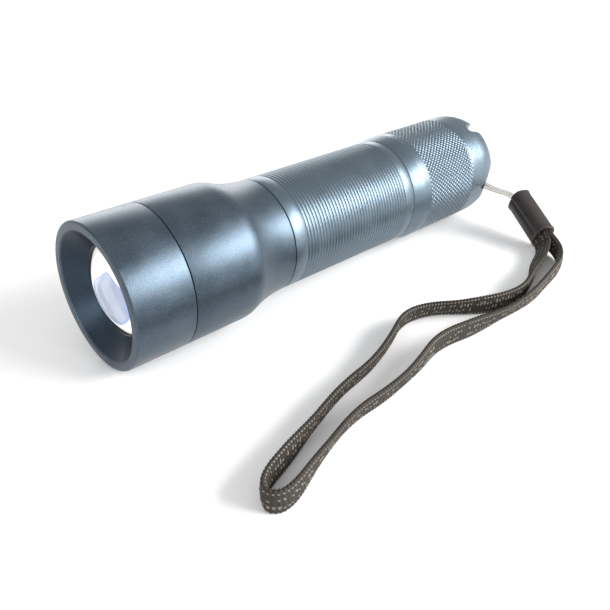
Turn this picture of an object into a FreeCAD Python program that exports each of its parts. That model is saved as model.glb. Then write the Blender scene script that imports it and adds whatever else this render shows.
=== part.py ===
import FreeCAD, Part
import math
import os

# Focusing hand torch lying on a table, lens towards -X, button towards +X, wrist strap beside it.
# The torch is drawn along its own axis first: station = mm behind the front rim, radius = mm from the axis.
# It is then laid down on its head shoulder and tail-cap edge. Lengths are in millimetres.

V = FreeCAD.Vector

# Fits
RUN = 0.06            # radial running clearance of a sliding or turning fit
SEAM = 0.10           # gap at a seam between two moving bodies
SEAT = 0.02           # gap under a piece that is only held, not pressed

# Head
HEAD_R = 16.0
SEAM_1 = 13.75        # bezel ring meets head shell
SHOULDER = 28.6       # the taper begins
SEAM_2 = 42.4         # head meets barrel
RIM_IN_R = 13.85      # mouth of the throat
THROAT_END = 4.1      # bottom of the throat
THROAT_END_R = 9.8
EDGE = 0.35           # broken edge of the turned parts
SKIRT_R = 14.3        # bezel thread into the head shell
SKIRT_END = 18.6
POCKET_R = 10.8       # lens pocket
LIP_BACK = 4.6
GASKET_T = 0.6
LENS_R = 10.7
LENS_FLANGE_T = 1.2
DOME_R = 9.65         # edge of the convex face
LENS_NOSE = 1.6       # station of the lens's foremost point
RETAINER_T = 2.6
CHAMBER_R = 13.3
CHAMBER_END = 31.5    # front face of the sliding collar
TAPER_IN = 9.0        # radius of the convex start of the taper

# Barrel and neck
BARREL_R = 13.46
BORE_R = 11.2
SEAM_3 = 82.9         # barrel meets tail cap
GROOVE_START = 45.6
GROOVE_END = 80.0
GROOVES = 36
GROOVE_DEPTH = 0.22
NECK_R = 11.9
NECK_FRONT = 16.5
NECK_END = 48.0
ZOOM = 7.0            # travel of the head
STOP_T = 1.2
STOP_GROOVE_R = 11.2
STOP_OUT_R = 13.0
SEAL_AT = 33.4        # station of the slide O-ring
SEAL_WIRE = 0.6
SEAL_SIDE = 0.1       # side gap of an O-ring in its groove

# Light engine
BOARD_R = 10.5
BOARD_T = 1.6
SHELF = 19.6          # front face of the heat shelf
SHELF_T = 2.8
WIRE_R = 0.55
WIRE_AT = 7.4         # wires, off the axis
SCREW_AT = 7.4
SCREW_R = 1.0
LED_HALF = 1.75
LED_T = 0.7
LED_DOME_R = 1.3
CENTRE_R = 3.6        # hole of the centring ring
DRIVER_R = 9.7
DRIVER_AT = 38.0
DRIVER_T = 1.2

# Battery cartridge
CELL_R = 5.1
CELL_L = 44.5
CELL_GAP = 0.1
PACK_FRONT = 43.4
PACK_L = 52.0
PLATE_T = 2.2
PACK_R = 11.0

# Tail cap
CAP_R = 14.1
CAP_CONE_END = 87.0
KNURL_START = 89.1
KNURL_END = 108.2
CROWN_START = 112.5   # rounding of the tail end begins
TAIL_END = 117.8
CROWN_RIM_R = 12.8
RECESS_R = 11.2
WALL_OUT = 112.0      # outer face of the end wall
WALL_T = 1.6
SPIGOT_R = 12.74
SPIGOT_END = 94.0
SWITCH_BORE_R = 11.9
SWITCH_BORE_AT = 99.0
TAIL_SEAL_WIRE = 0.38
TAIL_SEAL_AT = 85.4
SCALLOPS = (-102.0, 78.0)
SCALLOP_DEPTH = 3.5
SCALLOP_HALF = 5.5
NOTCHES = (-27.0, 153.0)
NOTCH_DEPTH = 4.8
NOTCH_FLOOR = 1.2      # half width where the round floor starts
NOTCH_MOUTH = 2.0
CAP_TURNS = 5
CAP_PITCH = 1.5

# Button
BUTTON_R = 6.5
BUTTON_TOP = 115.2
FLANGE_R = 8.2
FLANGE_T = 1.1
PRESS = 1.4
PLUNGER_R = 4.8
SHAFT_R = 2.6

# Lanyard
STRING_R = 0.45
HOLE_R = 0.75
HOLE_AT = 113.0
HOLE_TURN = -99.0
FERRULE_H = 7.2
FERRULE_W = 5.4
FERRULE_WALL = 0.5
FERRULE_CORNER = 2.2
STRAP_W = 5.4
STRAP_T = 1.2
FERRULE_MOUTH = (118.3, -22.5, 9.0)
FERRULE_REAR = (112.5, -34.9, 3.9)


def outline(points):
    edges = []
    here = V(points[0][0], 0, points[0][1])
    for item in list(points[1:]) + [points[0][:2]]:
        there = V(item[-2], 0, item[-1])
        if len(item) == 4:
            edges.append(Part.Arc(here, V(item[0], 0, item[1]), there).toShape())
        elif (there - here).Length > 1e-6:
            edges.append(Part.makeLine(here, there))
        here = there
    return Part.Wire(edges)


def turned(points):
    return Part.Face(outline(points)).revolve(V(0, 0, 0), V(1, 0, 0), 360)


def ring(start, end, inner, outer, edge=0.0):
    if edge:
        return turned([(start, inner), (start, outer - edge), (start + edge, outer), (end - edge, outer),
                       (end, outer - edge), (end, inner)])
    return turned([(start, inner), (start, outer), (end, outer), (end, inner)])


def disc(start, end, radius):
    return Part.makeCylinder(radius, end - start, V(start, 0, 0), V(1, 0, 0))


def rod(start, end, radius, y, z):
    return Part.makeCylinder(radius, end - start, V(start, y, z), V(1, 0, 0))


def turn_point(radius, angle):
    a = math.radians(angle)
    return radius * math.sin(a), radius * math.cos(a)


def fuse(solids):
    shape = solids[0].multiFuse(solids[1:]).removeSplitter()
    return shape


def pipe(edges, section_edges):
    path = Part.Wire(edges)
    return path.makePipeShell([Part.Wire(section_edges)], True, False)


def coil(start, end, radii, wire_r):
    # Round spring: half-turn arcs, each tangent to the next. radii has one value per half turn, plus one.
    count = len(radii) - 1
    step = (end - start - 2 * wire_r) / count
    edges = []
    for i in range(count):
        sign = 1 if i % 2 == 0 else -1
        a = V(start + wire_r + i * step, 0, sign * radii[i])
        b = V(start + wire_r + (i + 1) * step, 0, -sign * radii[i + 1])
        middle = (a + b) * 0.5
        half = (b - a).Length / 2
        edges.append(Part.Arc(a, middle + V(0, sign * half, 0), b).toShape())
    first = edges[0]
    spot = first.valueAt(first.FirstParameter)
    along = first.tangentAt(first.FirstParameter)
    return pipe(edges, [Part.makeCircle(wire_r, spot, along)])


def bezel_ring():
    body = turned([
        (0.0, RIM_IN_R + 0.25), (0.0, HEAD_R - EDGE), (EDGE, HEAD_R), (SEAM_1 - 0.2, HEAD_R),
        (SEAM_1, HEAD_R - 0.2), (SEAM_1, SKIRT_R), (SKIRT_END, SKIRT_R), (SKIRT_END, 12.6),
        (9.6, 12.6), (9.6, POCKET_R), (LIP_BACK, POCKET_R), (LIP_BACK, THROAT_END_R),
        (THROAT_END, THROAT_END_R), (0.3, RIM_IN_R)])
    return body


def lens_gasket():
    return ring(LIP_BACK, LIP_BACK + GASKET_T, DOME_R + 0.1, POCKET_R)


def lens():
    seat = LIP_BACK + GASKET_T
    sag = seat - 0.2 - LENS_NOSE
    big = (DOME_R ** 2 + sag ** 2) / (2 * sag)
    half = math.asin(DOME_R / big) / 2
    middle = (LENS_NOSE + big - big * math.cos(half), big * math.sin(half))
    back = seat + LENS_FLANGE_T
    return turned([(LENS_NOSE, 0.0), (middle[0], middle[1], seat - 0.2, DOME_R), (seat, DOME_R), (seat, LENS_R),
                   (back, LENS_R), (back, 0.0)])


def lens_retainer():
    front = LIP_BACK + GASKET_T + LENS_FLANGE_T
    body = ring(front, front + RETAINER_T, 9.2, POCKET_R, 0.2)
    for y in (-10.0, 10.0):
        body = body.cut(Part.makeBox(1.0, 1.2, 1.6, V(front + RETAINER_T - 0.8, y - 0.6, -0.8)))
    return body


def head_shell():
    taper_l = SEAM_2 - SHOULDER
    drop = HEAD_R - BARREL_R
    both = (taper_l ** 2 + drop ** 2) / (2 * drop)
    out = both - TAPER_IN
    part = TAPER_IN / both
    joint = (SHOULDER + part * taper_l, HEAD_R - part * drop)
    turn = math.asin((joint[0] - SHOULDER) / TAPER_IN)
    mid_1 = (SHOULDER + TAPER_IN * math.sin(turn / 2), HEAD_R - TAPER_IN * (1 - math.cos(turn / 2)))
    mid_2 = (SEAM_2 - out * math.sin(turn / 2), BARREL_R + out * (1 - math.cos(turn / 2)))
    end = SEAM_2 - SEAM
    end_r = BARREL_R - 0.15
    return turned([
        (SEAM_1, SKIRT_R), (SEAM_1, HEAD_R - 0.2), (SEAM_1 + 0.2, HEAD_R), (SHOULDER, HEAD_R),
        (mid_1[0], mid_1[1], joint[0], joint[1]), (mid_2[0], mid_2[1], SEAM_2 - 0.35, BARREL_R),
        (end, end_r), (end, NECK_R + RUN), (CHAMBER_END, NECK_R + RUN), (CHAMBER_END, CHAMBER_R),
        (SKIRT_END, CHAMBER_R), (SKIRT_END, SKIRT_R)])


def seal(at, wire_r, outer):
    return Part.makeTorus(outer - wire_r, wire_r, V(at, 0, 0), V(1, 0, 0))


def slide_o_ring():
    return seal(SEAL_AT, SEAL_WIRE, NECK_R + RUN - 0.01)


def neck_tube():
    groove_r = NECK_R + RUN - 0.01 - 2 * SEAL_WIRE - RUN
    half = SEAL_WIRE + SEAL_SIDE
    stop = CHAMBER_END - ZOOM
    body = turned([
        (NECK_FRONT, BOARD_R + 0.1), (NECK_FRONT, NECK_R - 0.3), (NECK_FRONT + 0.3, NECK_R),
        (stop - STOP_T, NECK_R), (stop - STOP_T, STOP_GROOVE_R), (stop, STOP_GROOVE_R), (stop, NECK_R),
        (SEAL_AT - half, NECK_R), (SEAL_AT - half, groove_r), (SEAL_AT + half, groove_r), (SEAL_AT + half, NECK_R),
        (NECK_END - 0.4, NECK_R), (NECK_END, NECK_R - 0.4), (NECK_END, BORE_R), (DRIVER_AT + 3.4, BORE_R),
        (DRIVER_AT + 3.4, DRIVER_R + 0.05), (DRIVER_AT, DRIVER_R + 0.05), (DRIVER_AT, 8.8),
        (SHELF + SHELF_T, 8.8), (SHELF + SHELF_T, 0.0), (SHELF, 0.0), (SHELF, BOARD_R + 0.1)])
    for y in (-WIRE_AT, WIRE_AT):
        body = body.cut(rod(SHELF - 1, SHELF + SHELF_T + 1, WIRE_R + 0.25, y, 0))
    for z in (-SCREW_AT, SCREW_AT):
        body = body.cut(rod(SHELF - 1, SHELF + SHELF_T + 1, SCREW_R, 0, z))
    return body


def stop_ring():
    stop = CHAMBER_END - ZOOM
    body = ring(stop - STOP_T + SEAT, stop - SEAT, STOP_GROOVE_R + SEAT, STOP_OUT_R)
    return body.cut(Part.makeBox(STOP_T + 2, 3.0, 4.0, V(stop - STOP_T - 1, -1.5, STOP_GROOVE_R - 1)))


def led_board():
    body = disc(SHELF - BOARD_T, SHELF, BOARD_R)
    for y in (-WIRE_AT, WIRE_AT):
        body = body.cut(rod(SHELF - BOARD_T - 1, SHELF + 1, WIRE_R + 0.05, y, 0))
    for z in (-SCREW_AT, SCREW_AT):
        body = body.cut(rod(SHELF - BOARD_T - 1, SHELF + 1, SCREW_R + 0.1, 0, z))
    return body


def led_package():
    front = SHELF - BOARD_T
    return Part.makeBox(LED_T, 2 * LED_HALF, 2 * LED_HALF, V(front - LED_T, -LED_HALF, -LED_HALF))


def led_dome():
    front = SHELF - BOARD_T - LED_T
    ball = Part.makeSphere(LED_DOME_R, V(front, 0, 0))
    return ball.common(Part.makeBox(3, 6, 6, V(front - 3, -3, -3)))


def led_retainer():
    # Insulating cup that centres the LED: a thin disc with a funnel hole, clear of screws and wire ends.
    front = SHELF - BOARD_T
    body = turned([(front - 0.9, CENTRE_R + 0.6), (front - 0.9, 5.6), (front, 5.6), (front, CENTRE_R)])
    return body


def board_screws():
    heads = []
    front = SHELF - BOARD_T
    for z in (-SCREW_AT, SCREW_AT):
        shank = rod(front, SHELF + SHELF_T - 0.2, SCREW_R - 0.02, 0, z)
        head = rod(front - 1.1, front, 1.75, 0, z)
        slot = Part.makeBox(0.5, 0.5, 4.0, V(front - 1.2, -0.25, z - 2.0))
        cross = Part.makeBox(0.5, 4.0, 0.5, V(front - 1.2, -2.0, z - 0.25))
        heads.append(fuse([shank, head]).cut(slot).cut(cross))
    return Part.makeCompound(heads)


def wire(y):
    return rod(SHELF - BOARD_T - 0.5, DRIVER_AT - SEAT, WIRE_R, y, 0)


def driver_board():
    return disc(DRIVER_AT, DRIVER_AT + DRIVER_T, DRIVER_R)


def driver_chip():
    return Part.makeBox(1.5, 4.0, 5.0, V(DRIVER_AT - 1.5, -2.0, 2.2))


def driver_coil():
    return ring(DRIVER_AT - 2.8, DRIVER_AT, 0.8, 2.9, 0.3).translated(V(0, -0.2, -4.2))


def driver_capacitors():
    a = Part.makeBox(1.3, 1.6, 2.6, V(DRIVER_AT - 1.3, 3.4, -1.3 + 4.0))
    b = Part.makeBox(1.3, 1.6, 2.6, V(DRIVER_AT - 1.3, -5.0, -1.3 + 4.0))
    return Part.makeCompound([a, b])


def driver_retainer():
    front = DRIVER_AT + DRIVER_T
    body = ring(front, front + 2.0, 8.2, DRIVER_R, 0.15)
    for y in (-9.0, 9.0):
        body = body.cut(Part.makeBox(1.0, 2.4, 1.4, V(front + 1.2, y - 1.2, -0.7)))
    return body


def driver_spring():
    start = DRIVER_AT + DRIVER_T
    return coil(start, PACK_FRONT, [4.0, 3.9, 3.6, 3.3, 3.0, 2.7, 2.4], 0.35)


def barrel_tube():
    pitch = (GROOVE_END - GROOVE_START) / GROOVES
    outer = [(SEAM_2, BARREL_R - 0.15), (SEAM_2 + 0.15, BARREL_R)]
    for i in range(GROOVES):
        at = GROOVE_START + (i + 0.5) * pitch
        outer += [(at - 0.28, BARREL_R), (at, BARREL_R - GROOVE_DEPTH), (at + 0.28, BARREL_R)]
    outer += [(SEAM_3 - 0.2, BARREL_R), (SEAM_3, BARREL_R - 0.2), (SEAM_3, SPIGOT_R)]
    bottom = SPIGOT_R + RUN - 0.02 - 2 * TAIL_SEAL_WIRE - 0.04
    half = TAIL_SEAL_WIRE + SEAL_SIDE
    outer += [(TAIL_SEAL_AT - half, SPIGOT_R), (TAIL_SEAL_AT - half, bottom), (TAIL_SEAL_AT + half, bottom),
              (TAIL_SEAL_AT + half, SPIGOT_R), (SPIGOT_END - 0.5, SPIGOT_R), (SPIGOT_END, SPIGOT_R - 0.5)]
    inner = [(SPIGOT_END, BORE_R), (NECK_END, BORE_R), (NECK_END, NECK_R), (SEAM_2, NECK_R)]
    return turned(outer + inner)


def cell_places():
    off = (2 * CELL_R + CELL_GAP) / math.sqrt(3)
    return [turn_point(off, a) for a in (0, 120, 240)]


def cell(index):
    y, z = cell_places()[index]
    start = PACK_FRONT + PLATE_T + (0.6 if index != 1 else 2.2)
    e = 0.4
    nub = 1.0
    r = CELL_R
    plus = [(0, 0), (0, 1.9), (nub, 1.9), (nub, r - e), (nub + e, r), (CELL_L - e, r), (CELL_L, r - e), (CELL_L, 0)]
    if index == 1:
        plus = [(CELL_L - s, q) for s, q in plus]
    return turned(plus).translated(V(start, y, z))


def cartridge_plate(start, hole):
    body = ring(start, start + PLATE_T, 0.0, PACK_R, 0.3)
    body = body.cut(disc(start - 1, start + PLATE_T + 1, hole))
    return body


def cartridge_frame():
    # Three-armed web between the cells, with a pocket-free middle.
    start = PACK_FRONT + PLATE_T
    length = PACK_L - 2 * PLATE_T
    arms = []
    for a in (60, 180, 300):
        arm = Part.makeBox(length, 1.8, 3.2, V(start, -0.9, PACK_R - 3.4))
        arms.append(arm.rotated(V(0, 0, 0), V(1, 0, 0), -a))
    for i, arm in enumerate(arms):
        for y, z in cell_places():
            arm = arm.cut(rod(start - 1, start + length + 1, CELL_R + 0.05, y, z))
        arms[i] = arm
    return Part.makeCompound(arms)


def cartridge_contacts():
    front = PACK_FRONT + PLATE_T
    rear = PACK_FRONT + PACK_L - PLATE_T
    pads = []
    for i, (y, z) in enumerate(cell_places()):
        at = front if i != 1 else rear - 0.6
        pads.append(rod(at, at + 0.6, 3.4, y, z))
    return Part.makeCompound(pads)


def cartridge_springs():
    front = PACK_FRONT + PLATE_T
    rear = PACK_FRONT + PACK_L - PLATE_T
    used = 0.6 + CELL_L
    springs = []
    for i, (y, z) in enumerate(cell_places()):
        if i == 1:
            spring = coil(front, front + 2.2, [3.6, 3.3, 2.9, 2.5], 0.3)
        else:
            spring = coil(front + used, rear, [2.5, 2.9, 3.3, 3.6], 0.3)
        springs.append(spring.translated(V(0, y, z)))
    return Part.makeCompound(springs)


def terminal(start, end):
    return disc(start, end, 3.0)


def tail_o_ring():
    return seal(TAIL_SEAL_AT, TAIL_SEAL_WIRE, SPIGOT_R + RUN - 0.02)


def scallop(angle):
    radius = (SCALLOP_HALF ** 2 + SCALLOP_DEPTH ** 2) / (2 * SCALLOP_DEPTH)
    y, z = turn_point(1.0, angle)
    centre = V(TAIL_END - SCALLOP_DEPTH + radius, 0, 0)
    direction = V(0, y, z)
    return Part.makeCylinder(radius, 10.0, centre + direction * 8.0, direction)


def notch(angle):
    # Narrow slot with a round floor, open to the rear.
    y, z = turn_point(1.0, angle)
    across = V(0, -z, y)
    out = V(0, y, z)
    slope = (NOTCH_MOUTH - NOTCH_FLOOR) / (NOTCH_DEPTH - NOTCH_FLOOR)
    rear = TAIL_END + 1
    wide = NOTCH_MOUTH + slope
    floor = TAIL_END - NOTCH_DEPTH
    near = out * 8.0
    flat = [near + V(rear, 0, 0) + across * wide, near + V(floor + NOTCH_FLOOR, 0, 0) + across * NOTCH_FLOOR,
            near + V(floor, 0, 0), near + V(floor + NOTCH_FLOOR, 0, 0) - across * NOTCH_FLOOR,
            near + V(rear, 0, 0) - across * wide]
    edges = [Part.makeLine(flat[0], flat[1]), Part.Arc(flat[1], flat[2], flat[3]).toShape(),
             Part.makeLine(flat[3], flat[4]), Part.makeLine(flat[4], flat[0])]
    return Part.Face(Part.Wire(edges)).extrude(out * 10.0)


def tail_cap():
    front = SEAM_3 + SEAM
    rise = TAIL_END - CROWN_START
    fall = CAP_R - CROWN_RIM_R
    big = (rise ** 2 + fall ** 2) / (2 * fall)
    half = math.asin(rise / big) / 2
    mid = (CROWN_START + big * math.sin(half), CAP_R - big * (1 - math.cos(half)))
    inner_wall = WALL_OUT - WALL_T
    bore = SPIGOT_R + RUN
    body = turned([
        (front, bore), (front, BARREL_R - 0.2), (front + 0.2, BARREL_R), (CAP_CONE_END, CAP_R),
        (CROWN_START, CAP_R), (mid[0], mid[1], TAIL_END, CROWN_RIM_R), (TAIL_END, RECESS_R + 0.3),
        (TAIL_END - 0.3, RECESS_R), (WALL_OUT, RECESS_R), (WALL_OUT, BUTTON_R + RUN), (inner_wall, BUTTON_R + RUN),
        (inner_wall, SWITCH_BORE_R), (SWITCH_BORE_AT, SWITCH_BORE_R), (SWITCH_BORE_AT, bore)])
    for angle in SCALLOPS:
        body = body.cut(scallop(angle))
    for angle in NOTCHES:
        body = body.cut(notch(angle))
    y, z = turn_point(1.0, HOLE_TURN)
    return body.cut(Part.makeCylinder(HOLE_R, 6.0, V(HOLE_AT, 10.0 * y, 10.0 * z), V(0, y, z)))


def switch_retainer():
    body = ring(SWITCH_BORE_AT, SWITCH_BORE_AT + 1.5, 8.6, SWITCH_BORE_R, 0.2)
    for y in (-10.2, 10.2):
        body = body.cut(rod(SWITCH_BORE_AT - 1, SWITCH_BORE_AT + 1.2, 0.6, y, 0))
    return body


def switch_board():
    return disc(SWITCH_BORE_AT + 1.5, SWITCH_BORE_AT + 2.7, SWITCH_BORE_R - SEAT)


def tail_spring():
    board = SWITCH_BORE_AT + 1.5
    return coil(PACK_FRONT + PACK_L, board, [2.6, 3.0, 3.5, 4.0, 4.5, 5.0, 5.4], 0.4)


def switch_housing():
    front = SWITCH_BORE_AT + 2.7
    back = WALL_OUT - WALL_T
    floor = back - FLANGE_T - PRESS - 0.4
    spring_floor = back - 6.4
    outer = SWITCH_BORE_R - SEAT
    return turned([
        (front, SHAFT_R + RUN), (front, outer), (back, outer), (back, FLANGE_R + 0.3), (floor, FLANGE_R + 0.3),
        (floor, 4.3), (spring_floor, 4.3), (spring_floor, SHAFT_R + RUN)])


def switch_boot():
    flange = WALL_OUT - WALL_T - FLANGE_T
    hollow_end = BUTTON_TOP - 1.6
    rise = BUTTON_TOP - WALL_OUT - 0.8
    big = (BUTTON_R ** 2 + rise ** 2) / (2 * rise)
    half = math.asin(BUTTON_R / big) / 2
    mid = (BUTTON_TOP - big + big * math.cos(half), big * math.sin(half))
    return turned([
        (flange, PLUNGER_R + 0.3), (flange, FLANGE_R), (WALL_OUT - WALL_T, FLANGE_R),
        (WALL_OUT - WALL_T, BUTTON_R), (WALL_OUT + 0.8, BUTTON_R), (mid[0], mid[1], BUTTON_TOP, 0.0),
        (hollow_end, 0.0), (hollow_end, PLUNGER_R + 0.3)])


def switch_plunger():
    top = BUTTON_TOP - 1.6
    under = WALL_OUT - WALL_T - 0.5
    tip = SWITCH_BORE_AT + 2.7 + PRESS + 0.2
    return turned([(tip, 0.0), (tip, SHAFT_R - 0.3), (tip + 0.3, SHAFT_R), (under, SHAFT_R), (under, PLUNGER_R),
                   (top, PLUNGER_R), (top, 0.0)])


def plunger_spring():
    under = WALL_OUT - WALL_T - 0.5
    return coil(under - 4.2, under, [3.5] * 9, 0.28)


def lay_angle():
    return math.atan2(HEAD_R - CAP_R, CROWN_START - SHOULDER)


def lay_shift():
    a = lay_angle()
    rear = TAIL_END * math.cos(a) + CROWN_RIM_R * math.sin(a)
    front = -(HEAD_R - EDGE) * math.sin(a)
    return V(-(rear + front) / 2, 0, SHOULDER * math.sin(a) + HEAD_R * math.cos(a))


def laid():
    return FreeCAD.Placement(lay_shift(), FreeCAD.Rotation(V(0, 1, 0), math.degrees(lay_angle())))


def on_torch(station, radius, angle):
    y, z = turn_point(radius, angle)
    return laid().multVec(V(station, y, z))


def on_table(x, y, z):
    return V(x + lay_shift().x, y, z)


def route(points):
    # Straight runs joined by arcs tangent to both.
    edges = []
    radii = []
    here = points[0]
    for i in range(1, len(points) - 1):
        a, b, c = points[i - 1], points[i], points[i + 1]
        u = b - a
        w = c - b
        run = min(u.Length, w.Length)
        u.normalize()
        w.normalize()
        turn = u.getAngle(w)
        tangent = 0.45 * run
        radii.append(tangent / math.tan(turn / 2))
        start = b - u * tangent
        end = b + w * tangent
        inward = (w - u).normalize()
        reach = radii[-1] / math.cos(turn / 2) - radii[-1]
        edges.append(Part.makeLine(here, start))
        edges.append(Part.Arc(start, b + inward * reach, end).toShape())
        here = end
    edges.append(Part.makeLine(here, points[-1]))
    return edges, radii


def ferrule_axes():
    mouth = on_table(*FERRULE_MOUTH)
    rear = on_table(*FERRULE_REAR)
    along = (rear - mouth).normalize()
    side = along.cross(V(0, 0, 1)).normalize()
    up = side.cross(along).normalize()
    return mouth, rear, along, side, up


def string_points():
    mouth, rear, along, side, up = ferrule_axes()
    floor = TAIL_END - SCALLOP_DEPTH + STRING_R + 0.2
    inside = RECESS_R - 1.3
    outside = CAP_R + 2.2
    deep = mouth + along * 5.0
    near = mouth - along * 1.5
    return [deep + side * 0.8, near + side * 0.7, on_torch(HOLE_AT, outside, HOLE_TURN),
            on_torch(HOLE_AT, inside, HOLE_TURN), on_torch(floor, inside, HOLE_TURN),
            on_torch(floor, outside, HOLE_TURN), near - side * 0.7, deep - side * 0.8]


def lanyard_string():
    edges, radii = route(string_points())
    first = edges[0]
    spot = first.valueAt(first.FirstParameter)
    along = first.tangentAt(first.FirstParameter)
    return pipe(edges, [Part.makeCircle(STRING_R, spot, along)]), edges, radii


def oval(height, width, corner, start, along, side, up):
    # Rectangle with rounded corners, centred on start.
    w = width / 2
    h = height / 2
    k = corner * (1 - math.sqrt(0.5))
    p = [start + side * x + up * y for x, y in (
        (w, corner - h), (w, h - corner), (w - k, h - k), (w - corner, h), (corner - w, h), (k - w, h - k),
        (-w, h - corner), (-w, corner - h), (k - w, k - h), (corner - w, -h), (w - corner, -h), (w - k, k - h))]
    edges = [Part.makeLine(p[0], p[1]), Part.Arc(p[1], p[2], p[3]).toShape(), Part.makeLine(p[3], p[4]),
             Part.Arc(p[4], p[5], p[6]).toShape(), Part.makeLine(p[6], p[7]), Part.Arc(p[7], p[8], p[9]).toShape(),
             Part.makeLine(p[9], p[10]), Part.Arc(p[10], p[11], p[0]).toShape()]
    return Part.Face(Part.Wire(edges))


def lanyard_ferrule():
    mouth, rear, along, side, up = ferrule_axes()
    length = (rear - mouth).Length
    axes = (along, side, up)
    shell = oval(FERRULE_H, FERRULE_W, FERRULE_CORNER, mouth, *axes).extrude(along * length)
    lips = []
    for at in (0.0, length - 0.8):
        lip = oval(FERRULE_H + 0.5, FERRULE_W + 0.5, FERRULE_CORNER + 0.25, mouth + along * at, *axes)
        lips.append(lip.extrude(along * 0.8))
    wall = FERRULE_WALL
    hollow = oval(FERRULE_H - 2 * wall, FERRULE_W - 2 * wall, FERRULE_CORNER - 1.0, mouth - along, *axes)
    return fuse([shell] + lips).cut(hollow.extrude(along * (length + 2)))


def strap_points():
    mouth, rear, along, side, up = ferrule_axes()
    deep = rear - along * 7.0
    gap = STRAP_T / 2 + 0.3
    z = STRAP_W / 2
    flat = [(110.0, -41.4), (104.2, -45.0), (95.5, -46.6), (86.0, -48.4), (76.0, -48.2), (66.0, -46.8), (55.0, -44.4),
            (45.0, -47.2), (34.5, -48.8), (24.0, -48.6), (12.0, -52.2), (2.0, -55.9), (-1.2, -53.4), (1.2, -50.0), (9.0, -47.7),
            (18.0, -44.9), (28.0, -41.8), (38.0, -40.6), (47.5, -37.4), (56.0, -33.4), (63.5, -35.0), (70.0, -40.2),
            (77.0, -44.4), (85.0, -46.1), (93.0, -43.6), (101.5, -40.2), (108.6, -37.6)]
    points = [deep - side * gap, rear - side * gap + along * 1.2]
    points += [on_table(x, y, z) for x, y in flat]
    points += [rear + side * gap + along * 1.2, deep + side * gap]
    return points


def wrist_strap():
    edges, radii = route(strap_points())
    path = Part.Wire(edges)
    first = edges[0]
    spot = first.valueAt(first.FirstParameter)
    along = first.tangentAt(first.FirstParameter)
    side = along.cross(V(0, 0, 1)).normalize()
    up = side.cross(along).normalize()
    w, h = STRAP_T / 2, STRAP_W / 2
    corners = [spot + side * a + up * b for a, b in ((w, -h), (w, h), (-w, h), (-w, -h), (w, -h))]
    maker = Part.BRepOffsetAPI.MakePipeShell(path)
    maker.setFrenetMode(False)
    maker.add(Part.makePolygon(corners))
    maker.build()
    maker.makeSolid()
    return maker.shape(), edges, radii


def report_cord(name, solid, edges, radii, area):
    length = sum(e.Length for e in edges)
    print(name, "length", round(length, 2), "volume", round(solid.Volume, 2), "section x length",
          round(area * length, 2), "radii", [round(r, 2) for r in radii])


def save(name, shape, lay=True):
    if lay:
        shape = shape.copy()
        shape.Placement = laid().multiply(shape.Placement)
    shape.exportStep("parts/" + name + ".step")
    print(name, len(shape.Solids), round(shape.Volume, 3), shape.isValid())


def main():
    os.makedirs("parts", exist_ok=True)
    pieces = {
        "bezel_ring": bezel_ring(), "lens_gasket": lens_gasket(), "lens": lens(), "lens_retainer": lens_retainer(),
        "head_shell": head_shell(), "slide_o_ring": slide_o_ring(), "neck_tube": neck_tube(),
        "stop_ring": stop_ring(), "led_board": led_board(), "led_package": led_package(), "led_dome": led_dome(),
        "led_retainer": led_retainer(), "board_screws": board_screws(), "wire_red": wire(-WIRE_AT),
        "wire_black": wire(WIRE_AT), "driver_board": driver_board(), "driver_chip": driver_chip(),
        "driver_coil": driver_coil(), "driver_capacitors": driver_capacitors(),
        "driver_retainer": driver_retainer(), "driver_spring": driver_spring(), "barrel_tube": barrel_tube(),
        "cell_1": cell(0), "cell_2": cell(1), "cell_3": cell(2),
        "cartridge_front": cartridge_plate(PACK_FRONT, 3.0),
        "cartridge_rear": cartridge_plate(PACK_FRONT + PACK_L - PLATE_T, 3.0),
        "cartridge_frame": cartridge_frame(), "cartridge_contacts": cartridge_contacts(),
        "cartridge_springs": cartridge_springs(),
        "front_terminal": terminal(PACK_FRONT, PACK_FRONT + PLATE_T),
        "rear_terminal": terminal(PACK_FRONT + PACK_L - PLATE_T, PACK_FRONT + PACK_L),
        "tail_o_ring": tail_o_ring(), "tail_cap": tail_cap(), "switch_retainer": switch_retainer(),
        "switch_board": switch_board(), "tail_spring": tail_spring(), "switch_housing": switch_housing(),
        "switch_boot": switch_boot(), "switch_plunger": switch_plunger(), "plunger_spring": plunger_spring(),
    }
    for name, shape in pieces.items():
        save(name, shape)
    string, edges, radii = lanyard_string()
    report_cord("string", string, edges, radii, math.pi * STRING_R ** 2)
    save("lanyard_string", string, False)
    save("lanyard_ferrule", lanyard_ferrule(), False)
    strap, edges, radii = wrist_strap()
    report_cord("strap", strap, edges, radii, STRAP_W * STRAP_T)
    save("wrist_strap", strap, False)


main()
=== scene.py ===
import math

import bmesh
import bpy
import numpy as np
from mathutils import Matrix, Vector


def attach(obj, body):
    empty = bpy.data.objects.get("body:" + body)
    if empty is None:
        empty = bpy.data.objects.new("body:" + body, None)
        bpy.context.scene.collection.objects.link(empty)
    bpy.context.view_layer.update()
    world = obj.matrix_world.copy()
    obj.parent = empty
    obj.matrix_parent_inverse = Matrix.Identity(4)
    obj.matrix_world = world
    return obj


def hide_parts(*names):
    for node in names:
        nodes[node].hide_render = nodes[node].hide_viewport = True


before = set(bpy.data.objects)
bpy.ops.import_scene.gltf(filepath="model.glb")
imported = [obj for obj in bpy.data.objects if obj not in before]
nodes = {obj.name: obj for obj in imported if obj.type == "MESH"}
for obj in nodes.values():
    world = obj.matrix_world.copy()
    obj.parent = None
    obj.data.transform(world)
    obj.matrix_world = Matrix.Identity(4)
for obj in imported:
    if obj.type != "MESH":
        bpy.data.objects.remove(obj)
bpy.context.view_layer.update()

MM = 0.001

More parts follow.
